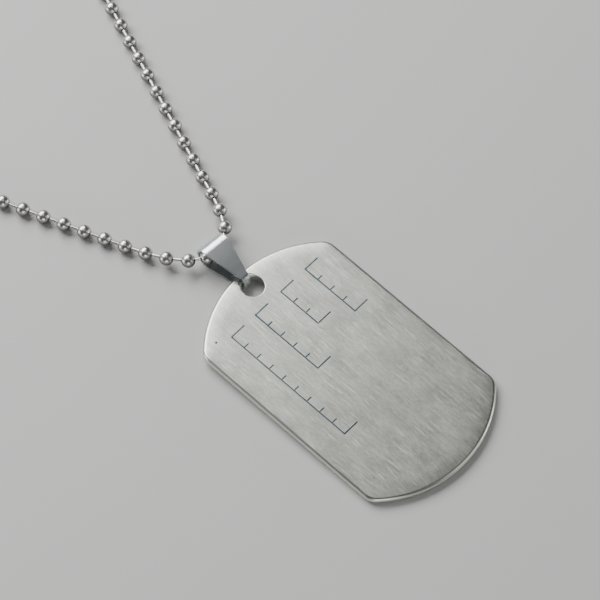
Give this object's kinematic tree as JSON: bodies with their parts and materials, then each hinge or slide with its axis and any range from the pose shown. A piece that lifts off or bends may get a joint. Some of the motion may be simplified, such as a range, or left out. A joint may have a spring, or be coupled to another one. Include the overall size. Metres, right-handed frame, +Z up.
{
  "type": "identification dog tag on a ball chain",
  "caption": "Flat steel tag with arched ends, hung by a folded strip bail on a closed loop of ball chain with a sleeve connector.",
  "frame": {"origin": "middle of the bail's flat back, on the surface that the whole thing lies on", "axes": "+Y from the tag to the loop of chain, +Z up off the surface"},
  "size_m": [0.1397, 0.302, 0.0046],
  "materials": {
    "tag": "brushed along the tag, with polished edges",
    "bail": "satin",
    "chain": "polished",
    "connector": "polished"
  },
  "bodies": {
    "root": {"tag": "tag", "bail": "bail", "chain_left": "chain", "chain_right": "chain", "connector": "connector"}
  },
  "joints": []
}
